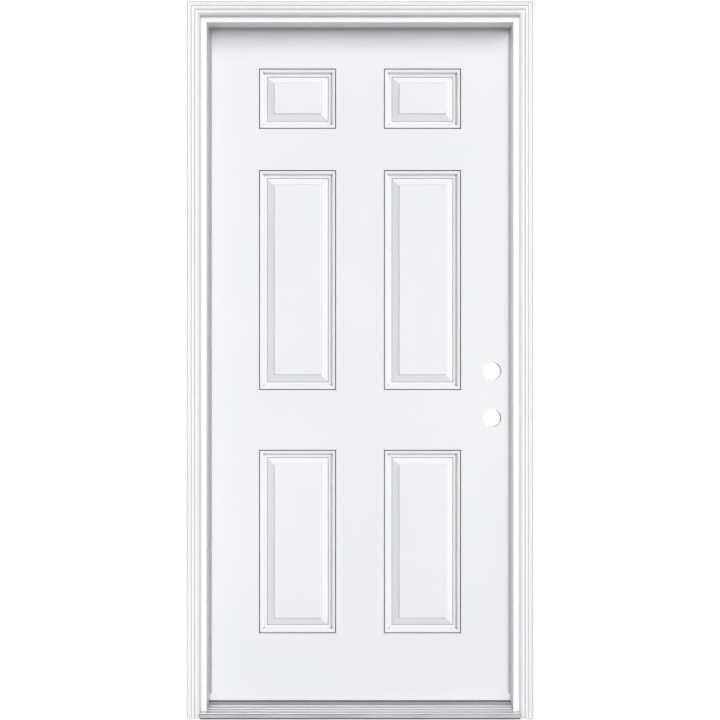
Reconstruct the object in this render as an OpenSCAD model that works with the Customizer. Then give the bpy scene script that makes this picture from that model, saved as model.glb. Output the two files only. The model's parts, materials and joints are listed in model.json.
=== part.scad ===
// Prehung six-panel entry door: pressed-steel slab on three butt hinges in a rabbeted wood
// frame with brickmould casing and an aluminium sill. Millimetres, +Z up, outside faces -Y.
// Origin: centre of the sill's underside, halfway through the depth of the jambs.

/* [Slab] */
// Width of the slab
slab_w = 908.05; // [720:0.05:1110]
// Height of the slab
slab_h = 2006.6; // [1670:0.1:2450]
// Thickness of the slab
slab_t = 44.45; // [37:0.05:54]
// Thickness of the pressed steel skins
skin_t = 0.8; // [0.5:0.1:1.2]
// Return of the skins over the slab's upright edges
skin_lip = 5.5; // [3:0.1:5.8]
// Width of the wood stiles inside the slab
stile_w = 38; // [36:1:45]
// Height of the wood rails inside the slab
inner_rail_h = 38; // [25:1:60]
// Width of the lock block beside the lock stile
lock_block_w = 94; // [75:1:110]
// Height of the lock block
lock_block_h = 420; // [260:1:500]

/* [Panel layout] */
// Face width of the outer stiles, beside the panels
face_stile = 153.2; // [120:0.1:184]
// Face width of the middle stile, between the panels
face_mullion = 142.2; // [60:0.1:170]
// Face height of the top rail
face_top_rail = 125.7; // [60:0.1:180]
// Height of the top panels
top_panel_h = 179.8; // [120:0.1:220]
// Face height of the rail under the top panels
face_frieze_rail = 122.4; // [60:0.1:160]
// Height of the middle panels
middle_panel_h = 655.3; // [400:0.1:790]
// Face height of the lock rail
face_lock_rail = 177.8; // [80:0.1:215]
// Face height of the bottom rail
face_bottom_rail = 199; // [100:0.1:240]

/* [Panel moulding] */
// Width of the groove at the moulding's outer edge
quirk_w = 3; // [2.5:0.1:4]
// Depth of the groove at the moulding's outer edge
quirk_depth = 3; // [1.5:0.1:3.5]
// Depth of the bead's outer edge below the face
step_depth = 0.8; // [0.3:0.1:1.2]
// Width of the rounded bead after the groove
bead_w = 7.5; // [5:0.5:10]
// Fall of the bead across its width
bead_drop = 0.7; // [0.3:0.1:1.5]
// Width of the steep fall to the moulding's floor
fall_w = 5; // [4:0.1:10]
// Greatest depth of the moulding
emboss_depth = 11.5; // [8:0.5:12]
// Width of the moulding's flat floor
floor_w = 7; // [2:0.1:9]
// Width of the notch between the floor and the bevel
notch_w = 1.5; // [0.8:0.1:2]
// Depth of the notch below the floor
notch_depth = 2; // [0.5:0.1:2.5]
// Width of the bevel that rises towards the raised field
bevel_w = 17.5; // [14:0.5:20]
// Height of the small riser at the edge of the field
riser_h = 3.4; // [2:0.1:4.5]
// Width of the small riser at the edge of the field
riser_w = 4; // [3:0.1:5]
// Width of the dip at the foot of the riser
dip_w = 1.8; // [1:0.1:2.5]
// Depth of the dip at the foot of the riser
dip_depth = 0.4; // [0.2:0.1:0.8]

/* [Lock preparation] */
// Radius of the bores for the lockset and the deadbolt
bore_r = 26.99; // [22:0.01:28]
// Distance from the slab's edge to the centre of the bores
backset = 60.33; // [58:0.01:71]
// Height of the lockset bore above the slab's bottom
lockset_z = 840; // [760:1:1000]
// Distance between the two bores
bore_spacing = 139.7; // [100:0.1:160]
// Radius of the latch and bolt bores in the slab's edge
latch_r = 12.7; // [10:0.1:14]
// Size of the recess for each latch plate: height
latch_plate_h = 57.15; // [50:0.05:60]
// Size of the recess for each latch plate: width
latch_plate_w = 25.4; // [22:0.1:28.6]
// Depth of the recess for each latch plate
latch_plate_t = 4; // [2:0.5:5]

/* [Frame] */
// Depth of the jambs through the wall
jamb_depth = 115.9; // [105:0.1:175]
// Thickness of the jambs at the rabbet
jamb_leg = 19.05; // [17:0.05:23]
// Height of the stop above the rabbet
stop_h = 9; // [9:0.1:16]
// Gap between the slab and the jambs at each side
side_gap = 3.175; // [2.7:0.005:3.8]
// Gap between the slab and the head jamb
head_gap = 3.175; // [2.5:0.005:4]
// Gap between the stop and the slab, filled by the weatherstrip
seal_gap = 8; // [6.6:0.1:9.6]
// Web of the side jambs left outside the housed head jamb
housing_web = 9.5; // [6:0.5:12]
// Bevel on the exposed arrises of the jambs
arris = 1.2; // [0.5:0.1:2]

/* [Brickmould] */
// Width of the brickmould
mould_w = 40; // [35:0.5:60]
// Thickness of the brickmould at its outer edge
mould_t = 30; // [25:0.05:38]
// Jamb edge left exposed beside the brickmould
mould_reveal = 18; // [10:0.5:22]
// Height of the brickmould's feet above the sill's underside
mould_foot = 5; // [0:0.5:12]
// Width of the kerf along the brickmould's back, at the jamb's outer face
back_kerf_w = 1.6; // [1:0.1:3]
// Depth of the kerf along the brickmould's back
back_kerf_depth = 1.5; // [1:0.1:4]

/* [Weatherstrip and sweep] */
// How far the bulb shows past the stop
seal_show = 7; // [3:0.1:8]
// Width of the kerf that holds the weatherstrip
kerf_w = 2.4; // [1.5:0.1:3]
// Depth of the kerf that holds the weatherstrip
kerf_depth = 9; // [6:0.5:12]
// Height of the sealing pads at the feet of the jambs
pad_h = 26; // [15:1:40]
// Thickness of each fin of the bottom sweep
fin_t = 1; // [0.8:0.1:1.5]
// Number of fins under the bottom sweep
fin_count = 4; // [2:1:5]

/* [Sill] */
// How far the sill stands out past the jambs
sill_nose = 27; // [18:0.5:40]
// Height of the deck at the nose
nose_h = 16; // [12:0.5:20]
// Height of the deck at the threshold cap
deck_back_h = 23; // [19.5:0.5:25]
// Thickness of the aluminium deck
deck_t = 1.6; // [1:0.1:2.5]
// Height of the ribs on the deck
rib_h = 1.1; // [0.5:0.1:2]
// Distance between the ribs on the deck
rib_pitch = 22; // [12:0.5:26]
// Height of the threshold cap's top
cap_top = 28; // [26:0.1:38]
// Depth of the threshold cap's legs below its top
cap_leg_h = 17; // [12:0.5:20]
// Depth of the threshold cap through the frame
cap_w = 44; // [34:0.5:45]
// Gap between the threshold cap and the slab's bottom
sweep_gap = 3.5; // [2.9:0.1:6]

/* [Hinges] */
// Height of the hinge leaves
leaf_h = 101.6; // [85:0.1:125]
// Reach of each leaf from the pin's axis
leaf_w = 45.6; // [40:0.1:46]
// Thickness of each leaf
leaf_t = 2.3; // [1.9:0.1:3]
// Corner radius of the leaves
leaf_corner_r = 15.9; // [6:0.1:19]
// Radius of the hinge knuckles
knuckle_r = 6; // [5.4:0.1:6.8]
// Radius of the hinge pins
pin_r = 3.9; // [3:0.1:4.2]
// Distance from the slab's inner face to the pin's axis
pin_offset = 7.5; // [7.3:0.1:9]
// Distance from the slab's top to the middle of the top hinge
top_hinge_drop = 228.6; // [150:0.1:275]
// Distance from the slab's bottom to the middle of the bottom hinge
bottom_hinge_rise = 330.2; // [200:0.1:400]

/* [Fasteners] */
// Radius of the hinge screws' shanks
screw_r = 2.1; // [1.7:0.1:2.6]
// Length of the hinge screws
screw_l = 25.4; // [20:0.1:30]
// Radius of the hinge screws' heads
screw_head_r = 4.2; // [3.6:0.1:4.6]
// Length of the screws that join sill and head to the side jambs
long_screw_l = 60; // [45:1:75]
// Length of the screws that adjust the threshold cap
cap_screw_l = 22; // [18:0.5:24]
// Radius of the brickmould nails
nail_r = 1.2; // [0.8:0.1:1.6]
// Length of the brickmould nails
nail_l = 48; // [40:1:60]

/* [Clearances] */
// Clearance around seated parts
fit_gap = 0.3; // [0.2:0.05:0.5]
// Clearance of screws and nails in their holes
hole_gap = 0.1; // [0.05:0.05:0.2]
// Running clearance of the pins in the knuckles
pin_gap = 0.05; // [0.02:0.01:0.1]
// Gap between neighbouring knuckles
knuckle_gap = 0.4; // [0.3:0.1:0.8]

/* [Hidden] */
$fn = 48;
HINGES = ["top_hinge", "middle_hinge", "bottom_hinge"];

// Planes across the depth of the frame
jamb_y0 = -jamb_depth / 2;
jamb_y1 = jamb_depth / 2;
slab_y1 = jamb_y1;
slab_y0 = slab_y1 - slab_t;
stop_y = slab_y0 - seal_gap;
nose_y = jamb_y0 - sill_nose;

// Planes across the width, mirrored at the other side
slab_x = slab_w / 2;
rabbet_x = slab_x + side_gap;
stop_x = rabbet_x - stop_h;
frame_x = rabbet_x + jamb_leg;
mould_x0 = stop_x + mould_reveal;
mould_x1 = mould_x0 + mould_w;

// Heights
slab_z0 = cap_top + sweep_gap;
slab_z1 = slab_z0 + slab_h;
rabbet_z = slab_z1 + head_gap;
stop_z = rabbet_z - stop_h;
frame_z = rabbet_z + jamb_leg;
mould_z0 = stop_z + mould_reveal;
mould_z1 = mould_z0 + mould_w;

// Panels, as [left, bottom, width, height] in the plane of the slab
panel_w = (slab_w - 2 * face_stile - face_mullion) / 2;
bottom_panel_h = slab_h - face_bottom_rail - face_lock_rail - middle_panel_h
  - face_frieze_rail - top_panel_h - face_top_rail;
middle_panel_z = face_bottom_rail + bottom_panel_h + face_lock_rail;
panel_rows = [[face_bottom_rail, bottom_panel_h], [middle_panel_z, middle_panel_h],
  [middle_panel_z + middle_panel_h + face_frieze_rail, top_panel_h]];
panels = [for (row = panel_rows, left = [face_stile, face_stile + panel_w + face_mullion])
  [left, row[0], panel_w, row[1]]];

// Hinge places
pin_x = -slab_x - side_gap / 2;
pin_y = slab_y1 + pin_offset;
top_hinge_z = slab_z1 - top_hinge_drop;
bottom_hinge_z = slab_z0 + bottom_hinge_rise;
hinge_z = [top_hinge_z, (top_hinge_z + bottom_hinge_z) / 2, bottom_hinge_z];
knuckle_count = 5;
knuckle_h = leaf_h / knuckle_count;
leaf_screw_count = 4;

// Lock places
bore_x = slab_x - backset;
bore_z = [slab_z0 + lockset_z, slab_z0 + lockset_z + bore_spacing];

// Sill places
cap_y0 = stop_y + fit_gap;
cap_y1 = cap_y0 + cap_w;
cap_foot_z = cap_top - cap_leg_h;
channel_z = cap_foot_z - fit_gap;
deck_slope = (deck_back_h - nose_h) / (stop_y - nose_y);
function deck_z(y) = nose_h + deck_slope * (y - nose_y);

// An eased curve from point a to point b in n steps, level at both ends
function ease(a, b, n) = [for (i = [1:n])
  [a[0] + (b[0] - a[0]) * i / n, a[1] + (b[1] - a[1]) * (1 - cos(180 * i / n)) / 2]];
// A quarter wave from a to b, level at the end that is named
function swell(a, b, n) = [for (i = [1:n])
  [a[0] + (b[0] - a[0]) * i / n, a[1] + (b[1] - a[1]) * sin(90 * i / n)]];
function droop(a, b, n) = [for (i = [1:n])
  [a[0] + (b[0] - a[0]) * i / n, a[1] + (b[1] - a[1]) * (1 - cos(90 * i / n))]];

// Panel moulding, as [distance in from the panel's edge, height]
quirk_wall = 0.32 * quirk_w;
emboss_bead = [quirk_w, -step_depth];
emboss_fall = emboss_bead + [bead_w, -bead_drop];
emboss_floor = [emboss_fall[0] + fall_w, notch_depth - emboss_depth];
emboss_notch = emboss_floor + [floor_w + notch_w, -notch_depth];
emboss_dip = emboss_notch + [bevel_w, emboss_depth - riser_h];
emboss_riser = emboss_dip + [dip_w, -dip_depth];
emboss_field = [emboss_riser[0] + riser_w, 0];
emboss_top = concat([[0, 0], [quirk_wall, -quirk_depth], [quirk_w - quirk_wall, -quirk_depth],
  emboss_bead], droop(emboss_bead, emboss_fall, 4), ease(emboss_fall, emboss_floor, 8),
  [emboss_floor + [floor_w, 0], emboss_notch, emboss_dip, emboss_riser],
  ease(emboss_riser, emboss_field, 6));
emboss_w = emboss_field[0];
emboss_last = len(emboss_top) - 1;
emboss_sheet = concat(emboss_top,
  [for (i = [emboss_last:-1:0]) emboss_top[i] - [0, skin_t]]);

// Brickmould section, as [distance out from the inner edge, -height above the wall]
mould_in = 0.45 * mould_t;
mould_quirk = 1.3;
back_kerf_x = frame_x - mould_x0;
mould_a = [0.34 * mould_w, -0.78 * mould_t];
mould_b = [0.58 * mould_w, -0.87 * mould_t];
mould_c = [0.83 * mould_w, -0.96 * mould_t];
mould_section = concat([[0, 0], [0, -mould_in]],
  swell([0, -mould_in], [0.2 * mould_w, -0.7 * mould_t], 5),
  droop([0.2 * mould_w, -0.7 * mould_t], mould_a, 5),
  [mould_a + [mould_quirk / 2, mould_quirk], mould_a + [mould_quirk, 0]],
  swell(mould_a + [mould_quirk, 0], mould_b, 5),
  [mould_b + [mould_quirk / 2, mould_quirk], mould_b + [mould_quirk, 0]],
  swell(mould_b + [mould_quirk, 0], mould_c, 5),
  [mould_c + [mould_quirk / 2, mould_quirk], [mould_c[0] + mould_quirk, -mould_t],
    [mould_w - arris, -mould_t], [mould_w, arris - mould_t], [mould_w, 0],
    [back_kerf_x + back_kerf_w, 0], [back_kerf_x + back_kerf_w, -back_kerf_depth],
    [back_kerf_x, -back_kerf_depth], [back_kerf_x, 0]]);

// ---- shared shapes ----

module both_sides() {
  children();
  mirror([1, 0, 0]) children();
}

module rounded_rect(w, h, r) {
  square([w - 2 * r, h], center = true);
  square([w, h - 2 * r], center = true);
  for (x = [-1, 1], y = [-1, 1]) translate([x * (w / 2 - r), y * (h / 2 - r)]) circle(r);
}

// Countersunk screw along +Z, its head's face at z = 0 and its tip at z = -length
module screw(shank_r, head_r, length) {
  head_h = head_r - shank_r;
  tip_h = 2 * shank_r;
  slot_l = 1.2 * head_r;
  slot_w = 0.24 * head_r;
  difference() {
    rotate_extrude() polygon([[0, 0], [head_r, 0], [shank_r, -head_h],
      [shank_r, tip_h - length], [0, -length]]);
    for (a = [0, 90]) rotate(a) cube([slot_l, slot_w, head_h], center = true);
  }
}

// The space that a screw needs, open above its head
module screw_hole(shank_r, head_r, length) {
  r = shank_r + hole_gap;
  head_h = head_r - shank_r;
  translate([0, 0, -length - hole_gap]) cylinder(r = r, h = length + 1);
  translate([0, 0, -head_h]) cylinder(r1 = r, r2 = head_r + hole_gap, h = head_h + 0.001);
  cylinder(r = head_r + hole_gap, h = 1);
}

// ---- frame ----

// Jamb section: x = thickness from the outer face, y = depth from the outside edge
module jamb_section() {
  full_t = jamb_leg + stop_h;
  stop_d = stop_y - jamb_y0;
  polygon([[0, 0], [full_t - arris, 0], [full_t, arris], [full_t, stop_d],
    [jamb_leg, stop_d], [jamb_leg, jamb_depth - arris], [jamb_leg - arris, jamb_depth],
    [0, jamb_depth]]);
}

module jamb_kerf() {
  translate([jamb_leg + fit_gap, stop_y - jamb_y0 - kerf_depth])
    square([kerf_w, kerf_depth + 1]);
}

module head_stock() {
  length = 2 * (frame_x - housing_web);
  translate([-length / 2, jamb_y0, frame_z]) rotate([0, 90, 0])
    linear_extrude(length) jamb_section();
}

// Everything below the feet of the jambs
module sill_envelope() {
  back_z = deck_z(stop_y) + rib_h;
  front_z = deck_z(jamb_y0 - 1) + rib_h;
  rotate([90, 0, 90]) linear_extrude(4 * frame_x, center = true)
    polygon([[jamb_y0 - 1, -1], [jamb_y0 - 1, front_z], [stop_y, back_z],
      [jamb_y1 + 1, back_z], [jamb_y1 + 1, -1]]);
}

module side_jamb() {
  difference() {
    translate([-frame_x, jamb_y0, 0]) linear_extrude(frame_z) difference() {
      jamb_section();
      jamb_kerf();
    }
    head_stock();
    sill_envelope();
    sill_screw_holes();
    head_screw_holes();
    nail_holes();
  }
}

module hinge_jamb() {
  color("white") difference() {
    side_jamb();
    for (z = hinge_z) at_hinge(z) {
      leaf_recess();
      leaf_screw_holes();
    }
  }
}

module strike_jamb() {
  recess_t = 1.6;
  pocket = [14, 20, 34];
  color("white") difference() {
    mirror([1, 0, 0]) side_jamb();
    for (z = bore_z) translate([rabbet_x, (slab_y0 + slab_y1) / 2, z]) {
      rotate([0, 90, 0]) linear_extrude(2 * recess_t, center = true)
        rounded_rect(latch_plate_h, latch_plate_w, 6);
      cube([2 * pocket[0], pocket[1], pocket[2]], center = true);
    }
  }
}

module head_jamb() {
  color("white") difference() {
    head_stock();
    translate([-frame_x, jamb_y0, frame_z]) rotate([0, 90, 0])
      linear_extrude(2 * frame_x) jamb_kerf();
    head_screw_holes();
    mirror([1, 0, 0]) head_screw_holes();
    head_nail_places() nail_hole();
  }
}

// ---- brickmould ----

// Keeps what lies inside an outline drawn in the plane of the wall
module wall_cut(points) {
  intersection() {
    children();
    translate([0, jamb_y0 + 1, 0]) rotate([90, 0, 0]) linear_extrude(mould_t + 2)
      polygon(points);
  }
}

module brickmould_leg() {
  difference() {
    wall_cut([[-mould_x0, mould_foot], [-mould_x0, mould_z0], [-mould_x1, mould_z1],
      [-mould_x1, mould_foot]])
      translate([-mould_x0, jamb_y0, 0]) mirror([1, 0, 0])
        linear_extrude(mould_z1) polygon(mould_section);
    nail_holes();
  }
}

module brickmould_hinge_side() {
  color("white") brickmould_leg();
}

module brickmould_strike_side() {
  color("white") mirror([1, 0, 0]) brickmould_leg();
}

module brickmould_head() {
  color("white") difference() {
    wall_cut([[-mould_x0, mould_z0], [mould_x0, mould_z0], [mould_x1, mould_z1],
      [-mould_x1, mould_z1]])
      translate([mould_x1, jamb_y0, mould_z0]) rotate([0, -90, 0])
        linear_extrude(2 * mould_x1) polygon(mould_section);
    head_nail_places() nail_hole();
  }
}

// ---- nails and long screws ----

nail_cover = 5;
nail_inset = (jamb_leg + stop_h - mould_reveal) / 2;
nail_front_y = jamb_y0 - mould_in + nail_cover;
leg_nails = 6;
head_nails = 3;

// Nails run inwards, each head under its plug of filler
module nail_hole() {
  rotate([-90, 0, 0]) cylinder(r = nail_r + hole_gap, h = nail_l + hole_gap, $fn = 16);
}

module nail() {
  rotate([-90, 0, 0]) cylinder(r = nail_r, h = nail_l, $fn = 16);
}

module leg_nail_places() {
  margin = 150;
  for (i = [0:leg_nails - 1])
    translate([-mould_x0 - nail_inset, nail_front_y,
      margin + (stop_z - 2 * margin) * i / (leg_nails - 1)]) children();
}

module head_nail_places() {
  for (i = [0:head_nails - 1])
    translate([stop_x * (i - (head_nails - 1) / 2) * 1.6 / (head_nails - 1), nail_front_y,
      mould_z0 + nail_inset]) children();
}

module nail_holes() {
  leg_nail_places() nail_hole();
}

module brickmould_nails() {
  color("silver") {
    both_sides() leg_nail_places() nail();
    head_nail_places() nail();
  }
}

// Screws up through the sill into the feet of the side jambs
module sill_screw_places() {
  for (y = [jamb_y0 + 24, jamb_y1 - 24])
    translate([-rabbet_x - jamb_leg / 2, y, 0]) mirror([0, 0, 1]) children();
}

module sill_screw_holes() {
  sill_screw_places() screw_hole(screw_r, screw_head_r, long_screw_l);
}

module sill_screws() {
  color("silver") both_sides() sill_screw_places()
    screw(screw_r, screw_head_r, long_screw_l);
}

// Screws through the side jambs into the ends of the head jamb
module head_screw_places() {
  for (y = [jamb_y0 + 20, stop_y - 20, jamb_y1 - 20])
    translate([-frame_x, y, frame_z - jamb_leg / 2]) rotate([0, -90, 0]) children();
}

module head_screw_holes() {
  head_screw_places() screw_hole(screw_r, screw_head_r, long_screw_l);
}

module head_screws() {
  color("silver") both_sides() head_screw_places()
    screw(screw_r, screw_head_r, long_screw_l);
}

// ---- weatherstrip ----

// Section: x = distance from the rabbet into the opening, y = distance behind the stop
module seal_section() {
  seal_d = seal_gap - 2 * fit_gap;
  nose_r = seal_d / 2;
  reach = stop_h + seal_show;
  translate([fit_gap, 0]) square([reach - nose_r - fit_gap, seal_d]);
  translate([reach - nose_r, nose_r]) circle(nose_r);
  translate([fit_gap * 2, -kerf_depth + fit_gap])
    square([kerf_w - 2 * fit_gap, kerf_depth]);
}

module side_seal() {
  foot_z = cap_top + fit_gap + pad_h;
  top_z = rabbet_z - stop_h - seal_show - fit_gap;
  translate([-rabbet_x, stop_y, foot_z]) linear_extrude(top_z - foot_z)
    seal_section();
}

module weatherstrip_hinge_side() {
  color("gainsboro") side_seal();
}

module weatherstrip_strike_side() {
  color("gainsboro") mirror([1, 0, 0]) side_seal();
}

module weatherstrip_head() {
  length = 2 * (rabbet_x - fit_gap);
  color("gainsboro") translate([-length / 2, stop_y, rabbet_z]) rotate([0, 90, 0])
    linear_extrude(length) seal_section();
}

module corner_pads() {
  color("dimgray") both_sides()
    translate([-rabbet_x + fit_gap, stop_y + fit_gap, cap_top + fit_gap])
      cube([stop_h - fit_gap, seal_gap - 2 * fit_gap, pad_h - fit_gap]);
}

// ---- sill ----

// The notch beside the nosing, where the feet of the brickmould stand
module nose_notches() {
  both_sides() translate([mould_x0 - fit_gap, nose_y - 1, -1])
    cube([mould_w, jamb_y0 - nose_y + 1, deck_back_h]);
}

module sill_substrate() {
  front_y = nose_y + deck_t;
  shelf_z = deck_z(stop_y) + rib_h;
  color("tan") difference() {
    rotate([90, 0, 90]) linear_extrude(2 * frame_x, center = true)
      polygon([[front_y, 0], [front_y, deck_z(front_y) - deck_t],
        [stop_y, deck_z(stop_y) - deck_t], [stop_y, shelf_z], [jamb_y1, shelf_z],
        [jamb_y1, 0]]);
    translate([-rabbet_x, cap_y0 - fit_gap, channel_z])
      cube([2 * rabbet_x, cap_w + 2 * fit_gap, shelf_z]);
    nose_notches();
    both_sides() sill_screw_holes();
    threshold_screw_places() screw_hole(screw_r, screw_head_r, cap_screw_l);
  }
}

module deck_rib(y) {
  rib_w = 3.5;
  translate([y, deck_z(y)]) polygon(concat([[-rib_w / 2, -deck_t / 2]],
    [for (a = [0:30:180]) [-rib_w / 2 * cos(a), rib_h * sin(a)]],
    [[rib_w / 2, -deck_t / 2]]));
}

module sill_deck() {
  lip_foot = 5;
  ribs = floor((stop_y - nose_y - rib_pitch / 2) / rib_pitch);
  color("lightgray") difference() {
    rotate([90, 0, 90]) linear_extrude(2 * frame_x, center = true) {
      polygon([[nose_y, lip_foot], [nose_y, nose_h - 2], [nose_y + 2, deck_z(nose_y + 2)],
        [stop_y, deck_z(stop_y)], [stop_y, deck_z(stop_y) - deck_t],
        [nose_y + deck_t, deck_z(nose_y + deck_t) - deck_t], [nose_y + deck_t, lip_foot]]);
      for (i = [0:ribs]) deck_rib(nose_y + rib_pitch * (i + 0.3));
    }
    nose_notches();
    both_sides() sill_screw_holes();
  }
}

module threshold_cap() {
  cap_t = 5.5;
  leg_t = 5;
  length = 2 * (rabbet_x - fit_gap);
  crown_z = cap_top - 1;
  color("dimgray") difference() {
    rotate([90, 0, 90]) linear_extrude(length, center = true)
      polygon([[cap_y0, cap_foot_z], [cap_y0, crown_z], [cap_y0 + 2, cap_top],
        [cap_y1 - 2, cap_top], [cap_y1, crown_z], [cap_y1, cap_foot_z],
        [cap_y1 - leg_t, cap_foot_z], [cap_y1 - leg_t, cap_top - cap_t],
        [cap_y0 + leg_t, cap_top - cap_t], [cap_y0 + leg_t, cap_foot_z]]);
    threshold_screw_places() screw_hole(screw_r, screw_head_r, cap_screw_l);
  }
}

module threshold_screw_places() {
  screws = 4;
  for (i = [0:screws - 1])
    translate([slab_w * ((i + 0.5) / screws - 0.5), (cap_y0 + cap_y1) / 2, cap_top])
      children();
}

module threshold_screws() {
  color("silver") threshold_screw_places() screw(screw_r, screw_head_r, cap_screw_l);
}

// ---- hinges ----

// Pin frame: origin on the pin's axis at the middle of one hinge, jamb leaf towards -X
module at_hinge(z) {
  translate([pin_x, pin_y, z]) children();
}

// Turns an outline of [distance from the axis, height] into the plane of the jamb leaf
module leaf_plane() {
  translate([-side_gap / 2, 0, 0]) rotate([0, 0, -90]) rotate([90, 0, 0]) children();
}

module leaf_outline(grow) {
  r = leaf_corner_r + grow;
  w = leaf_w + grow;
  h = leaf_h + 2 * grow;
  translate([0, -h / 2]) square([w - r, h]);
  translate([0, r - h / 2]) square([w, h - 2 * r]);
  for (side = [-1, 1]) translate([w - r, side * (h / 2 - r)]) circle(r);
}

module leaf_recess() {
  translate([1, 0, 0]) leaf_plane() linear_extrude(leaf_t + 1) leaf_outline(0.15);
}

module leaf_screw_places() {
  pitch = leaf_h / leaf_screw_count;
  inner = pin_offset + 0.3 * (leaf_w - pin_offset);
  outer = pin_offset + 0.72 * (leaf_w - pin_offset);
  for (i = [0:leaf_screw_count - 1])
    translate([-side_gap / 2, -(i % 2 == 0 ? inner : outer),
      pitch * (i - (leaf_screw_count - 1) / 2)]) rotate([0, 90, 0]) children();
}

module leaf_screw_holes() {
  leaf_screw_places() screw_hole(screw_r, screw_head_r, screw_l);
}

module knuckle(i, grow, radius) {
  translate([0, 0, i * knuckle_h - leaf_h / 2 - grow])
    cylinder(r = radius, h = knuckle_h + 2 * grow);
}

// own = 0 carries the outer and middle knuckles, own = 1 the two between them
module hinge_leaf(own) {
  half_gap = knuckle_gap / 2;
  color("silver") difference() {
    union() {
      difference() {
        leaf_plane() linear_extrude(leaf_t) leaf_outline(0);
        for (i = [1 - own:2:knuckle_count - 1])
          knuckle(i, half_gap, knuckle_r + knuckle_gap);
      }
      for (i = [own:2:knuckle_count - 1]) knuckle(i, -half_gap, knuckle_r);
    }
    cylinder(r = pin_r + pin_gap, h = leaf_h + 2, center = true);
    leaf_screw_holes();
  }
}

module jamb_leaf(z) {
  at_hinge(z) hinge_leaf(0);
}

module door_leaf(z) {
  at_hinge(z) mirror([1, 0, 0]) hinge_leaf(1);
}

module hinge_pin(z) {
  head_h = 3.2;
  tip_h = 2.5;
  half = leaf_h / 2;
  color("silver") at_hinge(z) rotate_extrude() polygon(concat(
    [[0, -half - tip_h], [pin_r - 1, -half - tip_h], [pin_r, 1 - half - tip_h],
      [pin_r, half], [knuckle_r, half], [knuckle_r, half + head_h / 2]],
    [for (a = [15:15:90])
      [knuckle_r * cos(a), half + head_h / 2 + head_h / 2 * sin(a)]]));
}

module jamb_hinge_screws() {
  color("silver") for (z = hinge_z) at_hinge(z) leaf_screw_places()
    screw(screw_r, screw_head_r, screw_l);
}

module door_hinge_screws() {
  color("silver") for (z = hinge_z) at_hinge(z) mirror([1, 0, 0]) leaf_screw_places()
    screw(screw_r, screw_head_r, screw_l);
}

// ---- slab ----

// Cuts for the lockset, the deadbolt and their latches
module lock_bores() {
  for (z = bore_z) {
    translate([bore_x, slab_y1 + 1, z]) rotate([90, 0, 0])
      cylinder(r = bore_r, h = slab_t + 2, $fn = 96);
    translate([bore_x, (slab_y0 + slab_y1) / 2, z]) rotate([0, 90, 0])
      cylinder(r = latch_r, h = backset);
    translate([slab_x, (slab_y0 + slab_y1) / 2, z]) rotate([0, 90, 0])
      linear_extrude(2 * latch_plate_t, center = true)
        rounded_rect(latch_plate_h, latch_plate_w, 6);
  }
}

// One straight run of moulding along +X with both ends mitred, its outer edge at y = 0
module mitred_run(length) {
  intersection() {
    rotate([90, 0, 90]) linear_extrude(length) polygon(emboss_sheet);
    translate([0, 0, -slab_t / 2]) linear_extrude(slab_t)
      polygon([[0, 0], [length, 0], [length - emboss_w, emboss_w], [emboss_w, emboss_w]]);
  }
}

module pressed_panel(w, h) {
  mitred_run(w);
  translate([w, 0, 0]) rotate(90) mitred_run(h);
  translate([w, h, 0]) rotate(180) mitred_run(w);
  translate([0, h, 0]) rotate(270) mitred_run(h);
  translate([emboss_w, emboss_w, -skin_t])
    cube([w - 2 * emboss_w, h - 2 * emboss_w, skin_t]);
}

// Skin lying in the XY plane with its outer face at z = 0
module pressed_skin() {
  translate([0, 0, -skin_t]) linear_extrude(skin_t) difference() {
    square([slab_w, slab_h]);
    for (p = panels) translate([p[0], p[1]]) square([p[2], p[3]]);
  }
  for (p = panels) translate([p[0], p[1], 0]) pressed_panel(p[2], p[3]);
  for (x = [0, slab_w - skin_t]) translate([x, 0, -skin_lip])
    cube([skin_t, slab_h, skin_lip]);
}

module hinge_recesses() {
  for (z = hinge_z) at_hinge(z) mirror([1, 0, 0]) {
    leaf_recess();
    leaf_screw_holes();
  }
}

module exterior_skin() {
  color("whitesmoke") difference() {
    translate([-slab_x, slab_y0, slab_z0]) rotate([90, 0, 0]) pressed_skin();
    lock_bores();
  }
}

module interior_skin() {
  color("whitesmoke") difference() {
    translate([-slab_x, slab_y1, slab_z0]) mirror([0, 1, 0]) rotate([90, 0, 0])
      pressed_skin();
    lock_bores();
    hinge_recesses();
  }
}

inner_t = slab_t - 2 * skin_t;
inner_y0 = slab_y0 + skin_t;

// Wood stile at the hinge side, rebated for the skins' returns
module slab_stile() {
  difference() {
    translate([-slab_x, inner_y0, slab_z0]) cube([stile_w, inner_t, slab_h]);
    for (y = [inner_y0, slab_y1 - skin_lip])
      translate([-slab_x - 1, y, slab_z0 - 1])
        cube([skin_t + 1, skin_lip - skin_t, slab_h + 2]);
  }
}

module hinge_stile() {
  color("burlywood") difference() {
    slab_stile();
    hinge_recesses();
  }
}

module lock_stile() {
  color("burlywood") difference() {
    mirror([1, 0, 0]) slab_stile();
    lock_bores();
  }
}

lock_block_x = slab_x - stile_w - lock_block_w;
lock_block_z = (bore_z[0] + bore_z[1] - lock_block_h) / 2;

module lock_block() {
  color("burlywood") difference() {
    translate([lock_block_x, inner_y0, lock_block_z])
      cube([lock_block_w, inner_t, lock_block_h]);
    lock_bores();
  }
}

module slab_rail(z) {
  translate([stile_w - slab_x, inner_y0, z])
    cube([slab_w - 2 * stile_w, inner_t, inner_rail_h]);
}

module slab_top_rail() {
  color("burlywood") slab_rail(slab_z1 - inner_rail_h);
}

module slab_bottom_rail() {
  color("burlywood") difference() {
    slab_rail(slab_z0);
    sweep_barbs(fit_gap);
  }
}

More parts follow.
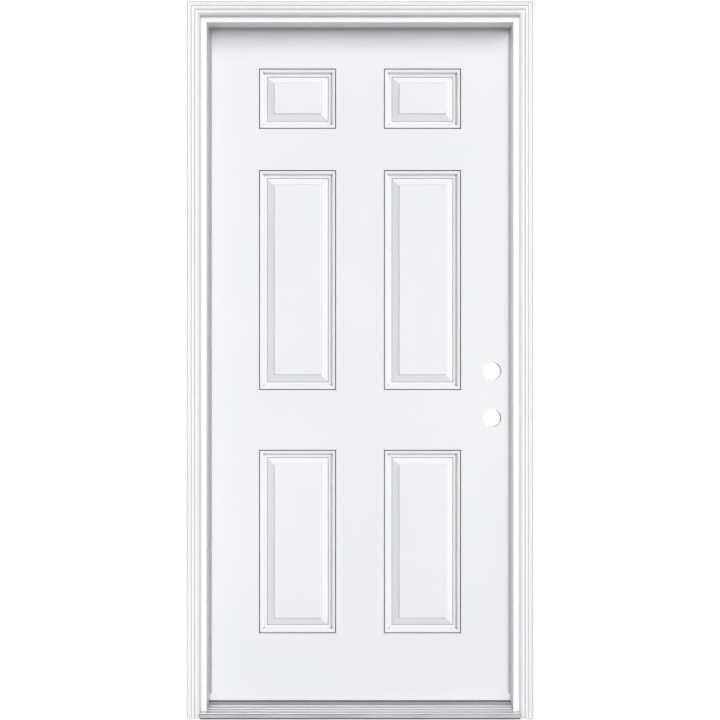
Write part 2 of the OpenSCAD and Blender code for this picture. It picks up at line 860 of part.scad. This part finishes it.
module foam_core() {
  channel_d = emboss_depth + fit_gap;
  color("khaki") difference() {
    translate([stile_w - slab_x, inner_y0, slab_z0 + inner_rail_h])
      cube([slab_w - 2 * stile_w, inner_t, slab_h - 2 * inner_rail_h]);
    translate([lock_block_x, slab_y0, lock_block_z])
      cube([lock_block_w, slab_t, lock_block_h]);
    for (p = panels, y = [inner_y0, slab_y1 - skin_t - channel_d])
      translate([p[0] - slab_x, y, p[1] + slab_z0]) difference() {
        cube([p[2], channel_d, p[3]]);
        translate([emboss_w, -1, emboss_w])
          cube([p[2] - 2 * emboss_w, channel_d + 2, p[3] - 2 * emboss_w]);
      }
  }
}

// Barbs of the sweep in the kerfs of the slab's bottom rail
module sweep_barbs(grow) {
  barb_h = 8;
  for (y = [slab_y0 + slab_t * 0.3, slab_y0 + slab_t * 0.7])
    translate([stile_w + fit_gap - grow - slab_x, y - fin_t / 2 - grow, slab_z0])
      cube([slab_w - 2 * stile_w - 2 * fit_gap + 2 * grow, fin_t + 2 * grow, barb_h + grow]);
}

module bottom_sweep() {
  side = 2;
  plate_t = 1.6;
  length = slab_w - 2 * side;
  span = slab_t - 2 * side - fin_t;
  fin_foot_z = cap_top + fit_gap;
  color("dimgray") {
    translate([-length / 2, slab_y0 + side, slab_z0 - plate_t])
      cube([length, slab_t - 2 * side, plate_t]);
    for (i = [0:fin_count - 1])
      translate([-length / 2, slab_y0 + side + span * i / (fin_count - 1), fin_foot_z])
        cube([length, fin_t, slab_z0 - fin_foot_z]);
    sweep_barbs(0);
  }
}

hinge_jamb();
strike_jamb();
head_jamb();
brickmould_hinge_side();
brickmould_strike_side();
brickmould_head();
weatherstrip_hinge_side();
weatherstrip_strike_side();
weatherstrip_head();
corner_pads();
sill_substrate();
sill_deck();
threshold_cap();
threshold_screws();
sill_screws();
head_screws();
brickmould_nails();
for (i = [0:2]) {
  jamb_leaf(hinge_z[i]);
  hinge_pin(hinge_z[i]);
  door_leaf(hinge_z[i]);
}
jamb_hinge_screws();
exterior_skin();
interior_skin();
hinge_stile();
lock_stile();
lock_block();
slab_top_rail();
slab_bottom_rail();
foam_core();
bottom_sweep();
door_hinge_screws();
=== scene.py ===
"""The looks of a prehung six-panel entry door: a white steel slab in a primed wood frame.

Metres, in the part's own frame: outside faces -Y, +Z is up, the hinges are at -X.
"""
import json
import math

import bpy
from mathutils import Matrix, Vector

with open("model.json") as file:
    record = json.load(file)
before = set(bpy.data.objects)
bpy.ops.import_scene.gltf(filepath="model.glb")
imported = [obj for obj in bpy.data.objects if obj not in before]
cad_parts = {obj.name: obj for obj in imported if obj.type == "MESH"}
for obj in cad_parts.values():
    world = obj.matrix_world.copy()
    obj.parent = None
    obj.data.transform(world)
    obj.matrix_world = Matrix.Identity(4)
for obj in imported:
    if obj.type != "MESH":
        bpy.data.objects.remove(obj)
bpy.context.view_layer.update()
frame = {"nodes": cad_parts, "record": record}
nodes = frame["nodes"]
record = frame["record"]

MM = 0.001


class Shader:
    """A node material on the Principled shader, textured in object coordinates (metres)."""

    def __init__(self, name, **sockets):
        self.material = bpy.data.materials.new(name)
        self.material.use_nodes = True
        self.tree = self.material.node_tree
        self.surface = self.tree.nodes["Principled BSDF"]
        for socket, value in sockets.items():
            self.surface.inputs[socket.replace("_", " ")].default_value = value
        self.place = self.add("ShaderNodeTexCoord").outputs["Object"]
        self.relief = None

    def add(self, kind, inputs=None, **settings):
        node = self.tree.nodes.new(kind)
        for key, value in settings.items():
            setattr(node, key, value)
        for socket, value in (inputs or {}).items():
            self.feed(node.inputs[socket], value)
        return node

    def feed(self, socket, value):
        if isinstance(value, bpy.types.NodeSocket):
            self.tree.links.new(value, socket)
        else:
            socket.default_value = value

    def stretched(self, stretch):
        scaled = self.add("ShaderNodeMapping", {"Vector": self.place, "Scale": stretch})
        return scaled.outputs["Vector"]

    def noise(self, size, stretch=(1, 1, 1), detail=2.0, rough=0.5, warp=0.0):
        """Noise with features about size metres across, longer where stretch is below 1."""
        made = self.add("ShaderNodeTexNoise", {
            "Vector": self.stretched(stretch), "Scale": 1 / size, "Detail": detail,
            "Roughness": rough, "Distortion": warp})
        return made.outputs["Fac"]

    def cells(self, size, stretch=(1, 1, 1), feature="F1"):
        made = self.add("ShaderNodeTexVoronoi", {
            "Vector": self.stretched(stretch), "Scale": 1 / size}, feature=feature)
        return made.outputs["Distance"]

    def span(self, value, low, high, out_low, out_high):
        """Maps low..high to out_low..out_high, clamped."""
        made = self.add("ShaderNodeMapRange", {
            "Value": value, "From Min": low, "From Max": high,
            "To Min": out_low, "To Max": out_high})
        return made.outputs["Result"]

    def crevices(self, reach, tight, open_to):
        """1 deep in a groove, 0 where the surface lies open, from what closes it in nearby: an
        occlusion mask for painting shade into the colour.
        """
        made = self.add("ShaderNodeAmbientOcclusion", {"Distance": reach}, samples=8,
                        only_local=True)
        return self.span(made.outputs["AO"], tight, open_to, 1.0, 0.0)

    def blend(self, factor, first, second):
        made = self.add("ShaderNodeMix", {"Factor": factor}, data_type="RGBA")
        self.feed(made.inputs[6], first)
        self.feed(made.inputs[7], second)
        return made.outputs[2]

    def colour(self, value):
        self.feed(self.surface.inputs["Base Color"], value)

    def roughness(self, value):
        self.feed(self.surface.inputs["Roughness"], value)

    def bump(self, height, depth, strength=1.0):
        """Adds a layer of relief, depth metres high."""
        inputs = {"Height": height, "Distance": depth, "Strength": strength}
        if self.relief:
            inputs["Normal"] = self.relief
        self.relief = self.add("ShaderNodeBump", inputs).outputs["Normal"]
        self.feed(self.surface.inputs["Normal"], self.relief)


def rgb(red, green, blue):
    return (red, green, blue, 1.0)


def along(axis, short, long):
    """Stretch for fibres or strokes that run along an axis: fine across it, long along it."""
    return tuple(long if i == "XYZ".index(axis) else short for i in range(3))


# ---- materials ----

def painted_steel():
    """Factory white primer on pressed steel: satin, with a faint orange peel, and painted shade
    darkening its grooves.
    """
    made = Shader("painted_steel", Specular_IOR_Level=0.26)
    patches = made.noise(0.35, detail=3.0)
    paint = made.blend(made.span(patches, 0.35, 0.65, 0.0, 1.0),
                       rgb(0.832, 0.840, 0.870), rgb(0.850, 0.854, 0.872))
    # painted shade: the colour goes almost black where ambient occlusion closes the grooves in
    groove_shade = made.crevices(4.5 * MM, 0.52, 0.86)
    made.colour(made.blend(groove_shade, paint, rgb(0.03, 0.031, 0.033)))
    made.roughness(made.span(made.noise(0.02, detail=4.0), 0.3, 0.7, 0.40, 0.50))
    made.bump(made.noise(0.5, detail=1.0), 1.2 * MM)
    made.bump(made.noise(0.0024, detail=2.0), 0.035 * MM)
    made.bump(made.noise(0.0006, detail=1.0), 0.012 * MM)
    return made.material


def primed_wood(axis):
    """White primer brushed over softwood, its grain faintly raised along one axis, with painted
    shade darkening its grooves and joints.
    """
    made = Shader("primed_wood_" + axis.lower(), Specular_IOR_Level=0.38)
    patches = made.noise(0.12, along(axis, 1.0, 0.25), detail=3.0)
    paint = made.blend(made.span(patches, 0.3, 0.7, 0.0, 1.0),
                       rgb(0.826, 0.828, 0.846), rgb(0.858, 0.858, 0.866))
    # painted shade: the colour goes grey where ambient occlusion closes grooves and joints in
    groove_shade = made.crevices(3 * MM, 0.4, 0.85)
    made.colour(made.blend(groove_shade, paint, rgb(0.30, 0.30, 0.31)))
    made.roughness(made.span(made.noise(0.004, along(axis, 1.0, 0.08), detail=3.0),
                             0.3, 0.7, 0.42, 0.58))
    made.bump(made.noise(0.0028, along(axis, 1.0, 0.03), detail=4.0, warp=0.3), 0.1 * MM)
    made.bump(made.noise(0.0008, along(axis, 1.0, 0.2), detail=2.0), 0.03 * MM)
    return made.material


def bare_wood(axis):
    """Planed pine: pale early wood, darker rings and fine fibres along one axis."""
    made = Shader("bare_wood_" + axis.lower(), Specular_IOR_Level=0.3)
    rings = made.noise(0.011, along(axis, 1.0, 0.035), detail=3.0, rough=0.45, warp=0.6)
    fibres = made.noise(0.0011, along(axis, 1.0, 0.02), detail=3.0)
    tone = made.blend(made.span(rings, 0.42, 0.62, 0.0, 1.0),
                      rgb(0.70, 0.505, 0.300), rgb(0.500, 0.300, 0.150))
    pores = made.span(fibres, 0.3, 0.5, 0.28, 0.0)
    made.colour(made.blend(pores, tone, rgb(0.36, 0.21, 0.11)))
    made.roughness(made.span(fibres, 0.3, 0.7, 0.55, 0.75))
    made.bump(rings, 0.12 * MM)
    made.bump(fibres, 0.08 * MM)
    return made.material


def sealed_wood():
    """Bored wood under a thin grey-white sealer, its fibres running through the slab."""
    made = Shader("sealed_wood", Specular_IOR_Level=0.3)
    fibres = made.noise(0.0014, along("Y", 1.0, 0.05), detail=3.0)
    made.colour(made.blend(made.span(fibres, 0.35, 0.6, 0.0, 1.0),
                           rgb(0.50, 0.49, 0.475), rgb(0.64, 0.63, 0.615)))
    made.roughness(made.span(fibres, 0.3, 0.7, 0.6, 0.75))
    made.bump(fibres, 0.1 * MM)
    return made.material


def foam():
    """Rigid insulation foam with fine closed cells."""
    made = Shader("foam", Specular_IOR_Level=0.2)
    cells = made.cells(0.0012)
    made.colour(made.blend(made.noise(0.02, detail=4.0), rgb(0.74, 0.62, 0.36),
                           rgb(0.80, 0.70, 0.46)))
    made.roughness(made.span(cells, 0.0, 0.6, 0.75, 0.9))
    made.bump(cells, 0.25 * MM)
    return made.material


def weatherstrip():
    """White vinyl skin over foam, slightly puckered; its mid-grey colour is painted shade for
    the shaded band between stop and slab.
    """
    made = Shader("weatherstrip", Specular_IOR_Level=0.4)
    puckers = made.noise(0.006, (1.0, 1.0, 0.6), detail=3.0)
    # painted shade: mid-grey in place of the white of the vinyl
    made.colour(made.blend(made.noise(0.05, detail=3.0), rgb(0.47, 0.466, 0.484),
                           rgb(0.52, 0.516, 0.53)))
    made.roughness(made.span(puckers, 0.3, 0.7, 0.42, 0.56))
    made.bump(puckers, 0.08 * MM)
    made.bump(made.noise(0.0007, detail=2.0), 0.03 * MM)
    return made.material


def seal_dark():
    """Matt dark vinyl and foam."""
    made = Shader("seal_dark", Specular_IOR_Level=0.35)
    grain = made.noise(0.0009, detail=3.0)
    made.colour(made.blend(made.noise(0.03, detail=3.0), rgb(0.040, 0.040, 0.043),
                           rgb(0.062, 0.062, 0.065)))
    made.roughness(made.span(grain, 0.3, 0.7, 0.6, 0.75))
    made.bump(grain, 0.06 * MM)
    return made.material


def aluminium():
    """Mill-finish extrusion: die lines along X and soft handling marks."""
    made = Shader("aluminium", Metallic=1.0)
    lines = made.noise(0.0007, along("X", 1.0, 0.002), detail=2.0)
    clouds = made.noise(0.06, along("X", 1.0, 0.3), detail=5.0)
    made.colour(made.blend(made.span(clouds, 0.3, 0.7, 0.0, 1.0),
                           rgb(0.53, 0.535, 0.55), rgb(0.61, 0.615, 0.63)))
    made.roughness(made.span(clouds, 0.25, 0.75, 0.34, 0.5))
    made.bump(lines, 0.03 * MM)
    return made.material


def composite():
    """Wood-filled composite: dark grey-brown with pale flecks."""
    made = Shader("composite", Specular_IOR_Level=0.25)
    flecks = made.cells(0.0022, (1.0, 0.35, 1.0))
    tone = made.blend(made.noise(0.015, detail=5.0), rgb(0.13, 0.122, 0.112),
                      rgb(0.20, 0.187, 0.170))
    made.colour(made.blend(made.span(flecks, 0.05, 0.2, 0.5, 0.0), tone, rgb(0.42, 0.39, 0.34)))
    made.roughness(made.span(flecks, 0.0, 0.6, 0.65, 0.82))
    made.bump(flecks, 0.12 * MM)
    return made.material


def cap():
    """Matt moulded plastic with a fine grain."""
    made = Shader("cap", Specular_IOR_Level=0.4)
    grain = made.noise(0.0007, detail=2.0)
    made.colour(made.blend(made.noise(0.04, detail=3.0), rgb(0.262, 0.264, 0.273),
                           rgb(0.300, 0.302, 0.310)))
    made.roughness(made.span(grain, 0.3, 0.7, 0.48, 0.62))
    made.bump(grain, 0.04 * MM)
    return made.material


def plated_steel(name, tone, axis):
    """Satin zinc plate, brushed along one axis."""
    made = Shader(name, Metallic=1.0)
    brushed = made.noise(0.00035, along(axis, 1.0, 0.02), detail=2.0)
    clouds = made.noise(0.02, detail=4.0)
    dull = rgb(*[channel * 0.86 for channel in tone])
    made.colour(made.blend(made.span(clouds, 0.3, 0.7, 0.0, 1.0), dull, rgb(*tone)))
    made.roughness(made.span(clouds, 0.3, 0.7, 0.27, 0.4))
    made.bump(brushed, 0.012 * MM)
    return made.material


def pale_floor():
    """Plain pale studio floor that glows a little, and throws little light back at the door."""
    made = Shader("pale_floor", Specular_IOR_Level=0.1)
    seen = made.add("ShaderNodeLightPath").outputs["Is Camera Ray"]
    pale = made.blend(made.noise(0.8, detail=3.0), rgb(0.87, 0.87, 0.875),
                      rgb(0.895, 0.895, 0.898))
    made.colour(made.blend(seen, rgb(0.45, 0.45, 0.45), pale))
    made.surface.inputs["Emission Color"].default_value = rgb(1.0, 1.0, 1.0)
    made.feed(made.surface.inputs["Emission Strength"], made.span(seen, 0.0, 1.0, 0.0, 0.5))
    made.roughness(made.span(made.noise(0.05, detail=3.0), 0.3, 0.7, 0.7, 0.85))
    return made.material


def finish_nodes():
    """Gives every CAD node the finish of its slot, with the grain along its length.

    The slab's stiles are primed where they show, and the lock block is sealed where it is bored.
    """
    steel = {"hinge_steel": plated_steel("hinge_steel", (0.70, 0.69, 0.67), "Z"),
             "screw_steel": plated_steel("screw_steel", (0.66, 0.655, 0.64), "X")}
    plain = {"painted_steel": painted_steel(), "foam": foam(), "weatherstrip": weatherstrip(),
             "seal_dark": seal_dark(), "aluminium": aluminium(), "composite": composite(),
             "cap": cap(), **steel}
    grained = {(slot, axis): build(axis) for axis in "XZ"
               for slot, build in (("primed_wood", primed_wood), ("bare_wood", bare_wood))}
    lying = {"head_jamb", "brickmould_head", "slab_top_rail", "slab_bottom_rail"}
    for row in record["subparts"]:
        slot = row["material_slot"]
        axis = "X" if row["node"] in lying else "Z"
        piece = nodes[row["node"]]
        piece.data.materials.clear()
        piece.data.materials.append(plain.get(slot) or grained[slot, axis])
    for name in ("hinge_stile", "lock_stile"):
        nodes[name].data.materials[0] = grained["primed_wood", "Z"]
    nodes["lock_block"].data.materials[0] = sealed_wood()


# ---- edges ----

def ease_edges(pieces, width, segments=2):
    """Rounds sharp edges a little, as paint and tooling do."""
    for piece in pieces:
        weld = piece.modifiers.new("weld", "WELD")
        weld.merge_threshold = 0.004 * MM
        bevel = piece.modifiers.new("eased_edges", "BEVEL")
        bevel.width = width
        bevel.segments = segments
        bevel.limit_method = "ANGLE"
        bevel.angle_limit = math.radians(32)
        bevel.use_clamp_overlap = True
        bevel.harden_normals = True


# ---- stage, light and camera ----

def make_floor(half):
    mesh = bpy.data.meshes.new("floor")
    corners = [(-half, -half, 0), (half, -half, 0), (half, half, 0), (-half, half, 0)]
    mesh.from_pydata(corners, [], [(0, 1, 2, 3)])
    floor = bpy.data.objects.new("floor", mesh)
    bpy.context.scene.collection.objects.link(floor)
    mesh.materials.append(pale_floor())
    return floor


def make_world(above, below, backdrop):
    """Soft light, stronger from above than from below, in front of a white backdrop."""
    world = bpy.data.worlds.new("studio")
    world.use_nodes = True
    tree = world.node_tree
    white = rgb(1.0, 1.0, 1.0)
    light = tree.nodes["Background"]
    light.inputs["Color"].default_value = white
    seen = tree.nodes.new("ShaderNodeBackground")
    seen.inputs["Color"].default_value = white
    seen.inputs["Strength"].default_value = backdrop
    towards = tree.nodes.new("ShaderNodeTexCoord")
    split = tree.nodes.new("ShaderNodeSeparateXYZ")
    fade = tree.nodes.new("ShaderNodeMapRange")
    for socket, value in (("From Min", -0.3), ("From Max", 0.3), ("To Min", below),
                          ("To Max", above)):
        fade.inputs[socket].default_value = value
    path = tree.nodes.new("ShaderNodeLightPath")
    mix = tree.nodes.new("ShaderNodeMixShader")
    tree.links.new(towards.outputs["Generated"], split.inputs["Vector"])
    tree.links.new(split.outputs["Z"], fade.inputs["Value"])
    tree.links.new(fade.outputs["Result"], light.inputs["Strength"])
    tree.links.new(path.outputs["Is Camera Ray"], mix.inputs["Fac"])
    tree.links.new(light.outputs["Background"], mix.inputs[1])
    tree.links.new(seen.outputs["Background"], mix.inputs[2])
    tree.links.new(mix.outputs["Shader"], tree.nodes["World Output"].inputs["Surface"])
    bpy.context.scene.world = world


def gather(name, pieces):
    """A collection of pieces, for a light to shine on or be cut by."""
    group = bpy.data.collections.new(name)
    for piece in pieces:
        group.objects.link(piece)
    return group


def make_light(name, azimuth, elevation, level, spread, lights=None, shadows=None):
    """A far, soft light. Azimuth 0 shines from the front, 90 from +X; level is in display units.

    Lights and shadows can keep it to some pieces, as flags and cutters do in a studio.
    """
    a, e = math.radians(azimuth), math.radians(elevation)
    away = Vector((math.sin(a) * math.cos(e), -math.cos(a) * math.cos(e), math.sin(e)))
    data = bpy.data.lights.new(name, "SUN")
    data.energy = level * math.pi
    data.angle = math.radians(spread)
    light = bpy.data.objects.new(name, data)
    bpy.context.scene.collection.objects.link(light)
    light.location = away * 6.0
    light.rotation_mode = "QUATERNION"
    light.rotation_quaternion = away.to_track_quat("Z", "Y")
    if lights:
        light.light_linking.receiver_collection = gather(name + "_lights", lights)
    if shadows:
        light.light_linking.blocker_collection = gather(name + "_shadows", shadows)


def make_camera(distance, height, lens):
    """A level camera, square to the outside of the door."""
    data = bpy.data.cameras.new("camera")
    data.lens = lens
    data.sensor_width = 36.0
    data.clip_start = 0.05
    data.clip_end = 60.0
    camera = bpy.data.objects.new("camera", data)
    bpy.context.scene.collection.objects.link(camera)
    camera.location = (0.0, -distance, height)
    camera.rotation_euler = (math.radians(90), 0.0, 0.0)
    bpy.context.scene.camera = camera


bpy.context.scene.view_settings.view_transform = "Standard"
finish_nodes()
casing = [nodes["brickmould_" + place] for place in ("hinge_side", "strike_side", "head")]
ease_edges(casing, width=0.35 * MM)
floor = make_floor(half=7.0)
make_world(above=0.20, below=0.17, backdrop=1.05)
surround, leaf = [[nodes[name] for name in record["behaviour"]["bodies"][body]]
                  for body in ("frame", "door")]
cutters = leaf + [nodes["head_jamb"]]
make_light("key", 38, 28, 0.71, 34, lights=leaf, shadows=cutters)
make_light("frame_key", -2, 25, 0.69, 40, lights=surround + [floor])
make_light("front", 2, 10, 0.22, 30)
make_light("back", 208, 40, 0.90, 40)
make_camera(distance=4.0, height=1.0445, lens=67.4)
